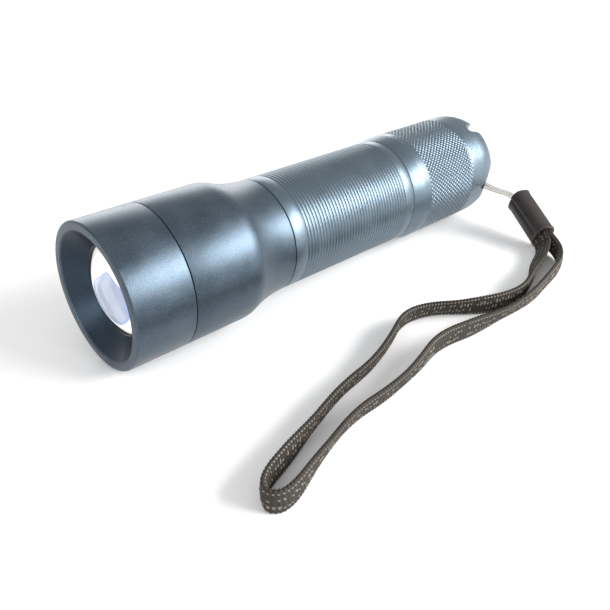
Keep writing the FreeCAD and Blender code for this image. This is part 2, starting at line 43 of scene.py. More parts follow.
# ---------------------------------------------------------------- sizes of the torch, in mm
# A station is mm behind the front rim along the torch's axis, a radius is mm from it, and an angle is in
# degrees from straight up, positive towards +Y.
HEAD_R, SEAM_1, SHOULDER, SEAM_2 = 16.0, 13.75, 28.6, 42.4
RIM_IN_R, THROAT_END, THROAT_END_R = 13.85, 4.1, 9.8
SKIRT_R, SKIRT_END, SKIRT_BORE_R, POCKET_R, POCKET_END = 14.3, 18.6, 12.6, 10.8, 9.6
LIP_BACK, GASKET_T, LENS_R, DOME_R, LENS_NOSE = 4.6, 0.6, 10.7, 9.65, 1.6
FLANGE_T, CHAMBER_R, CHAMBER_END, TAPER_IN, NECK_R, RUN, SEAM = 1.2, 13.3, 31.5, 9.0, 11.9, 0.06, 0.10
BARREL_R, BORE_R, SEAM_3, SPIGOT_R, SPIGOT_END, NECK_END = 13.46, 11.2, 82.9, 12.74, 94.0, 48.0
GROOVE_START, GROOVE_END, GROOVES, GROOVE_DEPTH = 45.6, 80.0, 36, 0.17
# A groove's section: mm along from its middle, and its share of the depth.
GROOVE_PROFILE = ((-0.30, 0.0), (-0.20, 0.22), (-0.11, 0.78), (0.0, 1.0),
                  (0.11, 0.78), (0.20, 0.22), (0.30, 0.0))
TAIL_SEAL_WIRE, TAIL_SEAL_AT, SEAL_SIDE = 0.38, 85.4, 0.1
THREAD_PITCH, THREAD_DEPTH = 1.5, 0.32
CAP_R, CAP_CONE_END, KNURL_START, KNURL_END = 14.1, 87.0, 89.1, 108.2
CROWN_START, TAIL_END, CROWN_RIM_R = 112.5, 117.8, 12.8
KNURL_DEPTH, KNURLS, KNURL_PITCH, KNURL_STEPS = 0.17, 77, 1.32, 6
KNURL_FADE_FRONT, KNURL_FADE_REAR = 3.0, 8.0
RECESS_R, WALL_OUT, WALL_T, SWITCH_BORE_R, SWITCH_BORE_AT = 11.2, 112.0, 1.6, 11.9, 99.0
SCALLOPS, SCALLOP_DEPTH, SCALLOP_HALF = (-102.0, 78.0), 3.5, 5.5
NOTCHES, NOTCH_DEPTH, NOTCH_FLOOR, NOTCH_MOUTH = (-27.0, 153.0), 4.8, 1.2, 2.0
BUTTON_R, BUTTON_TOP, BOOT_FLANGE_R, BOOT_FLANGE_T, PLUNGER_R = 6.5, 115.2, 8.2, 1.1, 4.8
STRING_R, HOLE_R, HOLE_AT, HOLE_TURN = 0.45, 0.75, 113.0, -99.0
FERRULE_H, FERRULE_W, FERRULE_WALL = 7.2, 5.4, 0.5
STRAP_W, STRAP_T = 5.4, 1.2
FERRULE_MOUTH, FERRULE_REAR = (118.3, -22.5, 9.0), (112.5, -34.9, 3.9)

lay = math.atan2(HEAD_R - CAP_R, CROWN_START - SHOULDER)
AXIS = Vector((math.cos(lay), 0, -math.sin(lay)))
UP = Vector((math.sin(lay), 0, math.cos(lay)))
RIM_EDGE = 0.35
SHIFT_X = -(TAIL_END * math.cos(lay) + CROWN_RIM_R * math.sin(lay) - (HEAD_R - RIM_EDGE) * math.sin(lay)) / 2
SHIFT_Z = SHOULDER * math.sin(lay) + HEAD_R * math.cos(lay)
RIM_CENTRE = Vector((SHIFT_X, 0, SHIFT_Z))
LAID = Matrix(((AXIS.x, 0, UP.x, SHIFT_X * MM), (0, 1, 0, 0), (AXIS.z, 0, UP.z, SHIFT_Z * MM), (0, 0, 0, 1)))


def on_torch(station, radius, angle):
    a = math.radians(angle)
    return RIM_CENTRE + AXIS * station + UP * (radius * math.cos(a)) + Vector((0, radius * math.sin(a), 0))


def on_table(x, y, z):
    return Vector((x + SHIFT_X, y, z))


# ---------------------------------------------------------------- camera
camera = bpy.data.objects.new("camera", bpy.data.cameras.new("camera"))
camera.data.lens = 41.44
camera.data.sensor_width = 36.0
camera.data.clip_start = 0.005
camera.location = (-0.10834, -0.11540, 0.09099)
camera.rotation_euler = tuple(math.radians(v) for v in (57.265, 0.152, -42.848))
bpy.context.scene.collection.objects.link(camera)
bpy.context.scene.camera = camera


# ---------------------------------------------------------------- lanyard routes, in mm
def ferrule_axes():
    mouth = on_table(*FERRULE_MOUTH)
    rear = on_table(*FERRULE_REAR)
    along = (rear - mouth).normalized()
    side = along.cross(Vector((0, 0, 1))).normalized()
    up = side.cross(along).normalized()
    return mouth, rear, along, side, up


def string_points():
    mouth, rear, along, side, up = ferrule_axes()
    floor = TAIL_END - SCALLOP_DEPTH + STRING_R + 0.2
    inside = RECESS_R - 1.3
    outside = CAP_R + 2.2
    deep = mouth + along * 5.0
    near = mouth - along * 1.5
    return [deep + side * 0.8, near + side * 0.7, on_torch(HOLE_AT, outside, HOLE_TURN),
            on_torch(HOLE_AT, inside, HOLE_TURN), on_torch(floor, inside, HOLE_TURN),
            on_torch(floor, outside, HOLE_TURN), near - side * 0.7, deep - side * 0.8]


def strap_points():
    mouth, rear, along, side, up = ferrule_axes()
    deep = rear - along * 7.0
    gap = STRAP_T / 2 + 0.3
    z = STRAP_W / 2
    flat = [(110.0, -41.4), (104.2, -45.0), (95.5, -46.6), (86.0, -48.4), (76.0, -48.2), (66.0, -46.8),
            (55.0, -44.4), (45.0, -47.2), (34.5, -48.8), (24.0, -48.6), (12.0, -52.2), (2.0, -55.9),
            (-1.2, -53.4), (1.2, -50.0), (9.0, -47.7), (18.0, -44.9), (28.0, -41.8), (38.0, -40.6),
            (47.5, -37.4), (56.0, -33.4), (63.5, -35.0), (70.0, -40.2),
            (77.0, -44.4), (85.0, -46.1), (93.0, -43.6), (101.5, -40.2), (108.6, -37.6)]
    points = [deep - side * gap, rear - side * gap + along * 1.2]
    points += [on_table(x, y, z) for x, y in flat]
    points += [rear + side * gap + along * 1.2, deep + side * gap]
    return points


def spline_curve(name, points, bevel=0.0):
    curve = bpy.data.curves.new(name, "CURVE")
    curve.dimensions = "3D"
    spline = curve.splines.new("NURBS")
    spline.points.add(len(points) - 1)
    for p, q in zip(spline.points, points):
        p.co = (q.x * MM, q.y * MM, q.z * MM, 1.0)
    spline.order_u = 3
    spline.use_endpoint_u = True
    spline.resolution_u = 24
    curve.bevel_depth = bevel
    curve.bevel_resolution = 6
    obj = bpy.data.objects.new(name, curve)
    bpy.context.scene.collection.objects.link(obj)
    return obj


def spline_line(points):
    # Points along the route's own spline.
    guide = spline_curve("guide", points)
    bpy.context.view_layer.update()
    mesh = bpy.data.meshes.new_from_object(guide)
    line = [v.co.copy() for v in mesh.vertices]
    bpy.data.meshes.remove(mesh)
    curve = guide.data
    bpy.data.objects.remove(guide)
    bpy.data.curves.remove(curve)
    return line


def arc_lengths(line):
    steps = [0.0]
    for a, b in zip(line, line[1:]):
        steps.append(steps[-1] + (b - a).length)
    return steps


def even_line(line, step):
    # The same line with points a step apart.
    at = np.array(arc_lengths(line))
    count = max(2, int(round(at[-1] / step)) + 1)
    want = np.linspace(0.0, at[-1], count)
    pts = np.array([tuple(p) for p in line])
    return [Vector(np.array([np.interp(w, at, pts[:, k]) for k in range(3)])) for w in want]


# ---------------------------------------------------------------- mesh helpers
def link_mesh(name, verts, faces, smooth_angle=30.0, laid=False):
    mesh = bpy.data.meshes.new(name)
    mesh.from_pydata([tuple(v) for v in verts], [], [tuple(f) for f in faces])
    if laid:
        mesh.transform(LAID)
    b = bmesh.new()
    b.from_mesh(mesh)
    bmesh.ops.remove_doubles(b, verts=b.verts, dist=1e-7)
    bmesh.ops.recalc_face_normals(b, faces=b.faces)
    b.to_mesh(mesh)
    b.free()
    mesh.shade_smooth()
    mesh.set_sharp_from_angle(angle=math.radians(smooth_angle))
    obj = bpy.data.objects.new(name, mesh)
    bpy.context.scene.collection.objects.link(obj)
    return obj


def swing(middle, a, b, steps):
    # Points on the circle about middle, from a to b the short way, both included.
    ra, rb = (a - middle), (b - middle)
    start = math.atan2(ra.y, ra.x)
    turn = (math.atan2(rb.y, rb.x) - start + math.pi) % (2 * math.pi) - math.pi
    out = []
    for k in range(steps + 1):
        t = start + turn * k / steps
        out.append((middle.x + ra.length * math.cos(t), middle.y + ra.length * math.sin(t)))
    return out


def soften(points, steps):
    # Rounds the corners of a closed outline. A point is (station, radius) or (station, radius, fillet).
    out = []
    n = len(points)
    for i, p in enumerate(points):
        here = Vector(p[:2])
        if len(p) < 3 or p[2] <= 0:
            out.append(tuple(here))
            continue
        back = (Vector(points[i - 1][:2]) - here)
        ahead = (Vector(points[(i + 1) % n][:2]) - here)
        turn = math.pi - back.angle(ahead)
        reach = min(p[2] * math.tan(turn / 2), 0.48 * back.length, 0.48 * ahead.length)
        radius = reach / math.tan(turn / 2)
        back.normalize()
        ahead.normalize()
        middle = here + (back + ahead).normalized() * (radius / math.cos(turn / 2))
        out += swing(middle, here + back * reach, here + ahead * reach, steps)
    return out


def lathe(name, outline, turns=192, angle=30.0):
    # A closed outline of (station, radius) turned about the torch's axis.
    n = len(outline)
    verts, faces = [], []
    for j in range(turns):
        a = 2 * math.pi * j / turns
        for s, r in outline:
            verts.append((s * MM, r * math.sin(a) * MM, r * math.cos(a) * MM))
    for j in range(turns):
        k = (j + 1) % turns
        for i in range(n):
            m = (i + 1) % n
            if outline[i][1] < 1e-9 and outline[m][1] < 1e-9:
                continue
            faces.append((j * n + i, j * n + m, k * n + m, k * n + i))
    return link_mesh(name, verts, faces, angle, laid=True)


# ---------------------------------------------------------------- materials
class Shader:
    # A small builder over a material's node tree.
    def __init__(self, name):
        self.material = bpy.data.materials.new(name)
        self.material.use_nodes = True
        self.tree = self.material.node_tree
        self.bsdf = self.tree.nodes["Principled BSDF"]
        self.output = self.tree.nodes["Material Output"]
        self.place = self.tree.nodes.new("ShaderNodeTexCoord").outputs["Object"]

    def node(self, kind, **settings):
        n = self.tree.nodes.new(kind)
        for key, value in settings.items():
            setattr(n, key, value)
        return n

    def link(self, a, b):
        self.tree.links.new(a, b)

    def set(self, **values):
        for key, value in values.items():
            self.bsdf.inputs[key.replace("_", " ")].default_value = value

    def noise(self, scale, detail=2.0, rough=0.5, stretch=None):
        n = self.node("ShaderNodeTexNoise")
        n.inputs["Scale"].default_value = scale
        n.inputs["Detail"].default_value = detail
        n.inputs["Roughness"].default_value = rough
        if stretch:
            m = self.node("ShaderNodeMapping")
            m.inputs["Scale"].default_value = stretch
            self.link(self.place, m.inputs["Vector"])
            self.link(m.outputs["Vector"], n.inputs["Vector"])
        else:
            self.link(self.place, n.inputs["Vector"])
        return n.outputs["Fac"]

    def ramp(self, source, stops):
        n = self.node("ShaderNodeValToRGB")
        ramp = n.color_ramp
        while len(ramp.elements) < len(stops):
            ramp.elements.new(0.5)
        for e, (at, colour) in zip(ramp.elements, stops):
            e.position = at
            e.color = (*colour, 1.0)
        self.link(source, n.inputs["Fac"])
        return n.outputs["Color"]

    def span(self, source, low, high, from_low=0.0, from_high=1.0):
        n = self.node("ShaderNodeMapRange")
        n.inputs["From Min"].default_value = from_low
        n.inputs["From Max"].default_value = from_high
        n.inputs["To Min"].default_value = low
        n.inputs["To Max"].default_value = high
        self.link(source, n.inputs["Value"])
        return n.outputs["Result"]

    def math(self, operation, a, b=None):
        n = self.node("ShaderNodeMath", operation=operation)
        for socket, value in zip(n.inputs, (a, b)):
            if value is None:
                continue
            if isinstance(value, (int, float)):
                socket.default_value = value
            else:
                self.link(value, socket)
        return n.outputs["Value"]

    def mix(self, factor, a, b):
        n = self.node("ShaderNodeMix", data_type="RGBA", blend_type="MIX")
        for index, value in ((0, factor), (6, a), (7, b)):
            socket = n.inputs[index]
            if isinstance(value, (int, float)):
                socket.default_value = value
            else:
                self.link(value, socket)
        return n.outputs[2]

    def bump(self, height, strength, distance):
        n = self.node("ShaderNodeBump")
        n.inputs["Strength"].default_value = strength
        n.inputs["Distance"].default_value = distance
        self.link(height, n.inputs["Height"])
        self.link(n.outputs["Normal"], self.bsdf.inputs["Normal"])

    def colour(self, socket):
        self.link(socket, self.bsdf.inputs["Base Color"])

    def rough(self, socket):
        self.link(socket, self.bsdf.inputs["Roughness"])


def anodised(name, base, light, grain_strength, rough):
    s = Shader(name)
    s.set(Metallic=0.80)
    fine = s.noise(4600.0, 2.0, 0.7)
    cloud = s.noise(160.0, 3.0, 0.5)
    s.colour(s.ramp(s.mix(0.35, fine, cloud), [(0.30, base), (0.72, light)]))
    s.rough(s.span(cloud, *rough, 0.3, 0.7))
    s.bump(fine, grain_strength, 0.00004)
    return s.material


def plain(name, base, light, rough, metallic=0.0, scale=900.0, bump=0.15):
    depth, spread = 0.00003, 0.08
    s = Shader(name)
    s.set(Metallic=metallic)
    n = s.noise(scale, 3.0, 0.55)
    s.colour(s.ramp(n, [(0.3, base), (0.7, light)]))
    s.rough(s.span(n, max(0.02, rough - spread), min(1.0, rough + spread), 0.3, 0.7))
    s.bump(n, bump, depth)
    return s.material


head_blue = anodised("head_anodised", (0.030, 0.046, 0.064), (0.092, 0.122, 0.152), 1.0, (0.31, 0.38))
# The throat takes a darker copy of the head's anodising: painted shade in the recess.
throat_painted_shade = anodised("throat_anodised_painted_shade", (0.014, 0.025, 0.040), (0.032, 0.048, 0.070), 0.3, (0.28, 0.35))
barrel_blue = anodised("barrel_anodised", (0.078, 0.110, 0.138), (0.135, 0.176, 0.208), 0.5, (0.33, 0.41))


def metal(name, base, light, rough, stretch=None):
    s = Shader(name)
    s.set(Metallic=1.0)
    n = s.noise(1500.0, 3.0, 0.6, stretch)
    s.colour(s.ramp(n, [(0.3, base), (0.7, light)]))
    s.rough(s.span(n, rough - 0.06, rough + 0.08, 0.3, 0.7))
    s.bump(n, 0.12, 0.00002)
    return s.material


bare_metal = metal("bare_metal", (0.55, 0.56, 0.58), (0.70, 0.71, 0.72), 0.32, (1.0, 0.15, 0.15))
spring_metal = metal("spring_metal", (0.42, 0.43, 0.45), (0.56, 0.57, 0.58), 0.25)
gold_metal = metal("gold_metal", (0.72, 0.52, 0.22), (0.86, 0.66, 0.32), 0.22)
brass_metal = metal("brass_metal", (0.60, 0.44, 0.18), (0.74, 0.56, 0.26), 0.3)
nickel_metal = metal("nickel_metal", (0.58, 0.57, 0.53), (0.72, 0.70, 0.66), 0.2)
black_plastic = plain("black_plastic", (0.010, 0.010, 0.011), (0.020, 0.020, 0.022), 0.5)
black_rubber = plain("black_rubber", (0.008, 0.008, 0.009), (0.020, 0.020, 0.021), 0.62, 0.0, 2600.0, 0.3)
white_plastic = plain("white_plastic", (0.74, 0.74, 0.72), (0.82, 0.82, 0.80), 0.42)
white_board = plain("white_board", (0.72, 0.73, 0.74), (0.80, 0.81, 0.81), 0.4)
white_ceramic = plain("white_ceramic", (0.70, 0.70, 0.68), (0.78, 0.78, 0.76), 0.35)
phosphor = plain("phosphor", (0.82, 0.62, 0.10), (0.90, 0.72, 0.16), 0.2, 0.0, 3000.0, 0.05)
red_wire = plain("red_insulation", (0.42, 0.012, 0.012), (0.52, 0.022, 0.018), 0.45)
green_board = plain("green_board", (0.008, 0.075, 0.028), (0.014, 0.110, 0.045), 0.35)
dark_ferrite = plain("dark_ferrite", (0.022, 0.022, 0.024), (0.045, 0.045, 0.048), 0.7, 0.0, 2200.0, 0.4)
tan_ceramic = plain("tan_ceramic", (0.30, 0.20, 0.11), (0.38, 0.26, 0.15), 0.45)
cell_sleeve = plain("cell_sleeve", (0.018, 0.020, 0.026), (0.030, 0.033, 0.040), 0.28)

for name, material in {
    "neck_tube": bare_metal, "stop_ring": spring_metal, "slide_o_ring": black_rubber,
    "tail_o_ring": black_rubber,
    "lens_gasket": black_rubber, "lens_retainer": white_plastic, "led_board": white_board,
    "led_package": white_ceramic, "led_dome": phosphor, "led_retainer": white_plastic,
    "board_screws": spring_metal,
    "wire_red": red_wire, "wire_black": black_plastic, "driver_board": green_board,
    "driver_chip": black_plastic,
    "driver_coil": dark_ferrite, "driver_capacitors": tan_ceramic, "driver_retainer": brass_metal,
    "driver_spring": gold_metal, "cell_1": cell_sleeve, "cell_2": cell_sleeve, "cell_3": cell_sleeve,
    "cartridge_front": black_plastic, "cartridge_rear": black_plastic, "cartridge_frame": black_plastic,
    "cartridge_contacts": nickel_metal, "cartridge_springs": nickel_metal, "front_terminal": nickel_metal,
    "rear_terminal": nickel_metal, "switch_retainer": brass_metal, "switch_board": green_board,
    "tail_spring": gold_metal, "switch_housing": black_plastic, "switch_plunger": white_plastic,
    "plunger_spring": spring_metal,
}.items():
    piece = nodes[name].data
    piece.materials.clear()
    piece.materials.append(material)
    piece.shade_smooth()
    piece.set_sharp_from_angle(angle=math.radians(30))


def stand_for(obj, node, body, slot, *materials):
    obj.data.materials.clear()
    for m in materials:
        obj.data.materials.append(m)
    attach(obj, body)
    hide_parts(node)
    return obj


# ---------------------------------------------------------------- head
def bezel_outline():
    return soften([
        (0.0, RIM_IN_R + 0.25, 0.12), (0.0, HEAD_R, 0.45), (SEAM_1 - 0.16, HEAD_R, 0.14),
        (SEAM_1 - 0.16, HEAD_R - 0.7), (SEAM_1, HEAD_R - 0.7), (SEAM_1, SKIRT_R),
        (SKIRT_END, SKIRT_R), (SKIRT_END, SKIRT_BORE_R), (POCKET_END, SKIRT_BORE_R), (POCKET_END, POCKET_R),
        (LIP_BACK, POCKET_R),
        (LIP_BACK, THROAT_END_R), (THROAT_END, THROAT_END_R, 0.1), (0.3, RIM_IN_R, 0.4)], 5)


bezel = stand_for(lathe("bezel", bezel_outline()), "bezel_ring", "head", "anodised_blue",
                  head_blue, throat_painted_shade)
# Faces inside the throat, from the rim's inner edge back to the lip, get the darker copy: painted shade.
for face in bezel.data.polygons:
    local = [(LAID.inverted() @ bezel.data.vertices[v].co) / MM for v in face.vertices]
    middle = sum(local, Vector()) / len(local)
    inner = math.hypot(middle.y, middle.z)
    face.material_index = 1 if inner < RIM_IN_R and middle.x < LIP_BACK + 0.01 and middle.x > 0.1 else 0


def shell_outline():
    taper_l = SEAM_2 - SHOULDER
    drop = HEAD_R - BARREL_R
    both = (taper_l ** 2 + drop ** 2) / (2 * drop)
    out = both - TAPER_IN
    part = TAPER_IN / both
    joint = (SHOULDER + part * taper_l, HEAD_R - part * drop)
    points = [(SEAM_1, SKIRT_R), (SEAM_1, HEAD_R - 0.20), (SEAM_1 + 0.06, HEAD_R - 0.06),
              (SEAM_1 + 0.20, HEAD_R),
              (SHOULDER, HEAD_R)]
    points += swing(Vector((SHOULDER, HEAD_R - TAPER_IN)), Vector(points[-1]), Vector(joint), 10)[1:]
    points += swing(Vector((SEAM_2, BARREL_R + out)), Vector(joint), Vector((SEAM_2 - 0.3, BARREL_R)), 12)[1:]
    end = SEAM_2 - SEAM
    points += [(end - 0.12, BARREL_R - 0.05), (end - 0.06, BARREL_R - 0.20), (end - 0.06, 12.9), (end, 12.9),
               (end, NECK_R + RUN), (CHAMBER_END, NECK_R + RUN),
               (CHAMBER_END, CHAMBER_R), (SKIRT_END, CHAMBER_R), (SKIRT_END, SKIRT_R)]
    return points


stand_for(lathe("head_body", shell_outline()), "head_shell", "head", "anodised_blue", head_blue)


# ---------------------------------------------------------------- lens
def lens_outline():
    seat = LIP_BACK + GASKET_T
    sag = seat - 0.2 - LENS_NOSE
    big = (DOME_R ** 2 + sag ** 2) / (2 * sag)
    points = [(LENS_NOSE, 0.0)]
    for k in range(1, 29):
        a = math.asin(DOME_R / big) * k / 28
        points.append((LENS_NOSE + big * (1 - math.cos(a)), big * math.sin(a)))
    back = seat + FLANGE_T
    return points + [(seat, DOME_R), (seat, LENS_R), (back, LENS_R), (back, 0.0)]


def lens_material():
    # Clear glass with a painted reflection: a bright annulus stands for the lamps seen through the lens,
    # its inner edge wavy and thinly blue, round a pale blue-grey centre painted as an image of the parts
    # behind, and the annulus glows faintly, painted light, as the lens is no lamp.
    s = Shader("glass_painted_reflection")
    s.set(Roughness=0.03, IOR=1.5)
    off = s.node("ShaderNodeVectorMath", operation="SUBTRACT")
    s.link(s.place, off.inputs[0])
    off.inputs[1].default_value = tuple((RIM_CENTRE + Vector((0, -1.5, -0.6))) * MM)
    cross = s.node("ShaderNodeVectorMath", operation="CROSS_PRODUCT")
    s.link(off.outputs[0], cross.inputs[0])
    cross.inputs[1].default_value = tuple(AXIS)
    size = s.node("ShaderNodeVectorMath", operation="LENGTH")
    s.link(cross.outputs[0], size.inputs[0])
    wavy = s.math("MULTIPLY", s.math("SUBTRACT", s.noise(230.0, 0.0, 0.5), 0.5), 0.0030)
    radius = s.math("MULTIPLY", s.math("ADD", size.outputs["Value"], wavy), 100.0)
    # Base colour: a painted reflection of the lamps in the bright annulus, round a painted image of the parts
    # behind the lens in the centre.
    s.colour(s.ramp(radius, [(0.20, (0.42, 0.47, 0.55)), (0.51, (0.52, 0.58, 0.70)),
                             (0.545, (0.28, 0.42, 0.90)),
                             (0.57, (0.95, 0.96, 0.98)), (0.95, (0.96, 0.95, 0.93)),
                             (1.0, (0.90, 0.88, 0.85))]))
    # The annulus is made opaque so that its painted reflection shows; the centre stays partly clear.
    clear = s.ramp(radius, [(0.51, (0.45, 0.45, 0.45)), (0.56, (0.0, 0.0, 0.0))])
    s.link(clear, s.bsdf.inputs["Transmission Weight"])
    # Emission: a faint painted glow on the annulus, painted light.
    glow = s.ramp(radius, [(0.53, (0.03, 0.04, 0.06)), (0.58, (0.45, 0.45, 0.45)), (0.90, (0.42, 0.41, 0.39)),
                           (1.0, (0.30, 0.29, 0.27))])
    s.link(glow, s.bsdf.inputs["Emission Color"])
    s.set(Emission_Strength=1.0)
    return s.material


stand_for(lathe("lens_glass", lens_outline(), 160, 25.0), "lens", "head", "clear_lens", lens_material())


# ---------------------------------------------------------------- barrel
def barrel_outline():
    pitch = (GROOVE_END - GROOVE_START) / GROOVES
    points = [(SEAM_2, BARREL_R - 0.20), (SEAM_2 + 0.06, BARREL_R - 0.05), (SEAM_2 + 0.20, BARREL_R)]
    for i in range(GROOVES):
        at = GROOVE_START + (i + 0.5) * pitch
        for off, deep in GROOVE_PROFILE:
            points.append((at + off, BARREL_R - GROOVE_DEPTH * deep))
    points += [(SEAM_3 - 0.16, BARREL_R), (SEAM_3 - 0.05, BARREL_R - 0.05), (SEAM_3, BARREL_R - 0.16),
               (SEAM_3, SPIGOT_R)]
    bottom = SPIGOT_R + RUN - 0.02 - 2 * TAIL_SEAL_WIRE - 0.04
    half = TAIL_SEAL_WIRE + SEAL_SIDE
    points += [(TAIL_SEAL_AT - half, SPIGOT_R), (TAIL_SEAL_AT - half, bottom), (TAIL_SEAL_AT + half, bottom),
               (TAIL_SEAL_AT + half, SPIGOT_R)]
    # Thread behind the seal: shallow V turns, drawn as rings.
    first = TAIL_SEAL_AT + half + 0.9
    turns = int((SPIGOT_END - 0.8 - first) / THREAD_PITCH)
    for i in range(turns):
        at = first + THREAD_PITCH * (i + 0.5)
        points += [(at - 0.55, SPIGOT_R), (at - 0.2, SPIGOT_R - THREAD_DEPTH),
                   (at + 0.2, SPIGOT_R - THREAD_DEPTH), (at + 0.55, SPIGOT_R)]
    points += [(SPIGOT_END - 0.5, SPIGOT_R), (SPIGOT_END, SPIGOT_R - 0.5)]
    points += [(SPIGOT_END, BORE_R), (NECK_END, BORE_R), (NECK_END, NECK_R), (SEAM_2, NECK_R)]
    return points


stand_for(lathe("barrel", barrel_outline(), 160, 40.0), "barrel_tube", "barrel", "anodised_blue", barrel_blue)


# ---------------------------------------------------------------- tail cap
def crown_end(angle, radius):
    # Station of the crown's end face, with its two scallops and two notches.
    best = TAIL_END
    big = (SCALLOP_HALF ** 2 + SCALLOP_DEPTH ** 2) / (2 * SCALLOP_DEPTH)
    slope = (NOTCH_DEPTH - NOTCH_FLOOR) / (NOTCH_MOUTH - NOTCH_FLOOR)
    for s in SCALLOPS + NOTCHES:
        turn = math.radians(angle - s)
        if math.cos(turn) <= 0:
            continue
        off = abs(radius * math.sin(turn))
        if s in SCALLOPS and off < SCALLOP_HALF:
            best = min(best, TAIL_END - SCALLOP_DEPTH + big - math.sqrt(big ** 2 - off ** 2))
        if s in NOTCHES and off < NOTCH_FLOOR:
            best = min(best, TAIL_END - NOTCH_DEPTH + NOTCH_FLOOR - math.sqrt(NOTCH_FLOOR ** 2 - off ** 2))
        elif s in NOTCHES and off < NOTCH_MOUTH:
            best = min(best, TAIL_END - NOTCH_DEPTH + NOTCH_FLOOR + (off - NOTCH_FLOOR) * slope)
    return best


def crown_radius(station):
    if station <= CROWN_START:
        return CAP_R
    rise = TAIL_END - CROWN_START
    fall = CAP_R - CROWN_RIM_R
    big = (rise ** 2 + fall ** 2) / (2 * fall)
    return CAP_R - big + math.sqrt(max(0.0, big ** 2 - (station - CROWN_START) ** 2))


def from_middle(value):
    # How far a number is from the middle between two whole numbers.
    return abs(value - math.floor(value) - 0.5)


def tail_cap_mesh():
    around = KNURLS * KNURL_STEPS
    step = 360.0 / around
    rows_knurl = int(round((KNURL_END - KNURL_START) / (KNURL_PITCH / KNURL_STEPS)))
    front = SEAM_3 + SEAM
    bore = SPIGOT_R + RUN
    inner_wall = WALL_OUT - WALL_T
    columns = []
    for j in range(around):
        angle = j * step
        line = [(front, bore), (front, BARREL_R - 0.22), (front + 0.07, BARREL_R - 0.06),
                (front + 0.22, BARREL_R),
                (CAP_CONE_END - 0.5, CAP_R - 0.09), (CAP_CONE_END - 0.1, CAP_R - 0.015),
                (CAP_CONE_END + 0.3, CAP_R),
                (KNURL_START - 0.35, CAP_R)]
        for i in range(rows_knurl + 1):
            s = KNURL_START + i * (KNURL_END - KNURL_START) / rows_knurl
            da = from_middle((i + j) / KNURL_STEPS)
            db = from_middle((i - j) / KNURL_STEPS)
            near = min(1.0, min(da, db) / 0.42)
            deep = 1.0 - math.sin(near * math.pi / 2) ** 0.8
            fade = min(1.0, i / KNURL_FADE_FRONT, (rows_knurl - i) / KNURL_FADE_REAR)
            line.append((s, CAP_R - KNURL_DEPTH * deep * fade))
        line.append((KNURL_END + 0.4, CAP_R))
        line.append((CROWN_START - 0.4, CAP_R))
        top = crown_end(angle, 13.0)
        top_in = crown_end(angle, RECESS_R)
        for k in range(9):
            s = CROWN_START + (top - 0.22 - CROWN_START) * k / 8.0
            line.append((s, crown_radius(s)))
        rim = crown_radius(top)
        line += [(top - 0.08, rim - 0.06), (top, rim - 0.22)]
        line += [(top_in, RECESS_R + 0.22), (top_in - 0.08, RECESS_R + 0.06), (top_in - 0.22, RECESS_R)]
        line += [(WALL_OUT + 0.25, RECESS_R), (WALL_OUT + 0.06, RECESS_R - 0.08), (WALL_OUT, RECESS_R - 0.25)]
        line += [(WALL_OUT, BUTTON_R + RUN + 0.2), (WALL_OUT - 0.2, BUTTON_R + RUN),
                 (inner_wall, BUTTON_R + RUN)]
        line += [(inner_wall, SWITCH_BORE_R), (SWITCH_BORE_AT, SWITCH_BORE_R), (SWITCH_BORE_AT, bore)]
        columns.append((angle, line))
    n = len(columns[0][1])
    first_knurl = 8
    verts, faces = [], []
    for angle, line in columns:
        a = math.radians(angle)
        for s, r in line:
            verts.append((s * MM, r * math.sin(a) * MM, r * math.cos(a) * MM))
    for j in range(around):
        k = (j + 1) % around
        for i in range(n):
            m = (i + 1) % n
            quad = (j * n + i, j * n + m, k * n + m, k * n + i)
            row = i - first_knurl
            if 0 <= row < rows_knurl:
                # The quad is split along the nearer groove, so that the groove's edge stays straight.
                if from_middle((row + j + 1) / KNURL_STEPS) < from_middle((row - j) / KNURL_STEPS):
                    faces += [(quad[0], quad[1], quad[3]), (quad[1], quad[2], quad[3])]
                else:
                    faces += [(quad[0], quad[1], quad[2]), (quad[0], quad[2], quad[3])]
            else:
                faces.append(quad)
    return link_mesh("tail_cap_body", verts, faces, 38.0, laid=True)


def drill(obj, start, direction, radius, length):
    # Cuts a round hole with a boolean.
    b = bmesh.new()
    bmesh.ops.create_cone(b, cap_ends=True, segments=32, radius1=radius, radius2=radius, depth=length)
    mesh = bpy.data.meshes.new("drill")
    b.to_mesh(mesh)
    b.free()
    tool = bpy.data.objects.new("drill", mesh)
    bpy.context.scene.collection.objects.link(tool)
    turn = Vector((0, 0, 1)).rotation_difference(direction).to_matrix().to_4x4()
    tool.matrix_world = Matrix.Translation(start + direction * length / 2) @ turn
    modifier = obj.modifiers.new("hole", "BOOLEAN")
    modifier.operation = "DIFFERENCE"
    modifier.solver = "EXACT"
    modifier.object = tool
    bpy.context.view_layer.update()
    done = bpy.data.meshes.new_from_object(obj.evaluated_get(bpy.context.evaluated_depsgraph_get()))
    obj.modifiers.clear()
    old = obj.data
    obj.data = done
    bpy.data.meshes.remove(old)
    bpy.data.objects.remove(tool)
    bpy.data.meshes.remove(mesh)


cap = tail_cap_mesh()
hole_start = on_torch(HOLE_AT, 10.0, HOLE_TURN) * MM
hole_way = (on_torch(HOLE_AT, 16.0, HOLE_TURN) * MM - hole_start).normalized()
drill(cap, hole_start, hole_way, HOLE_R * MM, 6.0 * MM)
stand_for(cap, "tail_cap", "cap", "anodised_blue", barrel_blue)


